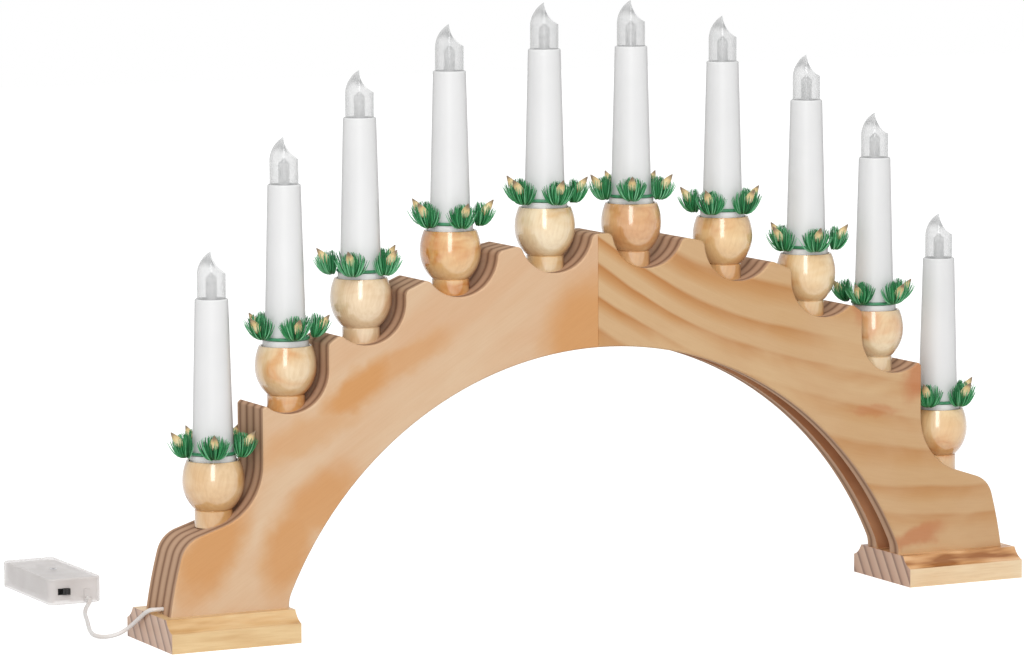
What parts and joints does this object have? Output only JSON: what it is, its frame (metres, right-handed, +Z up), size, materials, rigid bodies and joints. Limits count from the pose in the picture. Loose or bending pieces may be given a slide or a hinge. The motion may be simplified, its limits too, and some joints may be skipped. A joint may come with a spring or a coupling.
{
  "type": "candle arch",
  "caption": "Curved wooden candle arch on coved feet, with turned cups along its scalloped crest, electric candles with clear flame tops, lift-off needle wreaths and a corded battery box.",
  "frame": {"origin": "on the floor under the middle of the arch, midway between the feet, front to back centred", "axes": "+X to the right along the arch, -Y to the front, +Z up"},
  "size_m": [0.518, 0.2337, 0.3192],
  "materials": {
    "board_wood": "clear satin lacquer on layered pine board",
    "dowel_wood": "plain beech",
    "foot_wood": "clear satin lacquer",
    "cup_wood": "turned, glossy lacquer",
    "candle_white": "smooth moulded white",
    "lamp_white": "moulded white",
    "clear_plastic": "clear, polished",
    "wreath_green": "green sleeve on wire",
    "needle_green": "moulded needles with buds",
    "steel": "zinc plated",
    "contact_metal": "nickel plated",
    "wire_sheath": "pale soft sheath",
    "box_plastic": "clear greyish plastic",
    "cell_case": "plain printed sleeve",
    "black_plastic": "moulded black"
  },
  "bodies": {
    "arch": {"arch_left_half": "board_wood", "arch_right_half": "board_wood", "crown_dowels": "dowel_wood", "foot_left": "foot_wood", "foot_right": "foot_wood", "foot_screws": "steel", "flame_lenses": "clear_plastic", "led_lamps": "lamp_white", "wiring_harness": "wire_sheath", "wire_staples": "steel", "battery_box_base": "box_plastic", "battery_cells": "cell_case", "battery_contacts": "contact_metal", "battery_leads": "wire_sheath", "switch_body": "black_plastic", "cord_strain_relief": "box_plastic", "cord": "wire_sheath", "cup_1": "cup_wood", "candle_1": "candle_white", "cup_2": "cup_wood", "candle_2": "candle_white", "cup_3": "cup_wood", "candle_3": "candle_white", "cup_4": "cup_wood", "candle_4": "candle_white", "cup_5": "cup_wood", "candle_5": "candle_white", "cup_6": "cup_wood", "candle_6": "candle_white", "cup_7": "cup_wood", "candle_7": "candle_white", "cup_8": "cup_wood", "candle_8": "candle_white", "cup_9": "cup_wood", "candle_9": "candle_white", "cup_10": "cup_wood", "candle_10": "candle_white"},
    "battery_lid": {"battery_box_lid": "box_plastic", "lid_screw": "steel"},
    "switch_knob": {"switch_slider": "black_plastic"},
    "wreath_1": {"wreath_ring_1": "wreath_green", "wreath_sprigs_1": "needle_green"},
    "wreath_2": {"wreath_ring_2": "wreath_green", "wreath_sprigs_2": "needle_green"},
    "wreath_3": {"wreath_ring_3": "wreath_green", "wreath_sprigs_3": "needle_green"},
    "wreath_4": {"wreath_ring_4": "wreath_green", "wreath_sprigs_4": "needle_green"},
    "wreath_5": {"wreath_ring_5": "wreath_green", "wreath_sprigs_5": "needle_green"},
    "wreath_6": {"wreath_ring_6": "wreath_green", "wreath_sprigs_6": "needle_green"},
    "wreath_7": {"wreath_ring_7": "wreath_green", "wreath_sprigs_7": "needle_green"},
    "wreath_8": {"wreath_ring_8": "wreath_green", "wreath_sprigs_8": "needle_green"},
    "wreath_9": {"wreath_ring_9": "wreath_green", "wreath_sprigs_9": "needle_green"},
    "wreath_10": {"wreath_ring_10": "wreath_green", "wreath_sprigs_10": "needle_green"}
  },
  "joints": [
    {"name": "wreath_1_lift", "type": "slide", "parent": "arch", "child": "wreath_1", "axis": [0, 0, 1], "range_m": [0, 0.106]},
    {"name": "wreath_2_lift", "type": "slide", "parent": "arch", "child": "wreath_2", "axis": [0, 0, 1], "range_m": [0, 0.106]},
    {"name": "wreath_3_lift", "type": "slide", "parent": "arch", "child": "wreath_3", "axis": [0, 0, 1], "range_m": [0, 0.106]},
    {"name": "wreath_4_lift", "type": "slide", "parent": "arch", "child": "wreath_4", "axis": [0, 0, 1], "range_m": [0, 0.106]},
    {"name": "wreath_5_lift", "type": "slide", "parent": "arch", "child": "wreath_5", "axis": [0, 0, 1], "range_m": [0, 0.106]},
    {"name": "wreath_6_lift", "type": "slide", "parent": "arch", "child": "wreath_6", "axis": [0, 0, 1], "range_m": [0, 0.106]},
    {"name": "wreath_7_lift", "type": "slide", "parent": "arch", "child": "wreath_7", "axis": [0, 0, 1], "range_m": [0, 0.106]},
    {"name": "wreath_8_lift", "type": "slide", "parent": "arch", "child": "wreath_8", "axis": [0, 0, 1], "range_m": [0, 0.106]},
    {"name": "wreath_9_lift", "type": "slide", "parent": "arch", "child": "wreath_9", "axis": [0, 0, 1], "range_m": [0, 0.106]},
    {"name": "wreath_10_lift", "type": "slide", "parent": "arch", "child": "wreath_10", "axis": [0, 0, 1], "range_m": [0, 0.106]},
    {"name": "battery_lid_lift", "type": "slide", "parent": "arch", "child": "battery_lid", "axis": [0, 0, 1], "range_m": [0, 0.04]},
    {"name": "switch_slide", "type": "slide", "parent": "arch", "child": "switch_knob", "axis": [1, 0, 0], "range_m": [-0.0024, 0]}
  ]
}
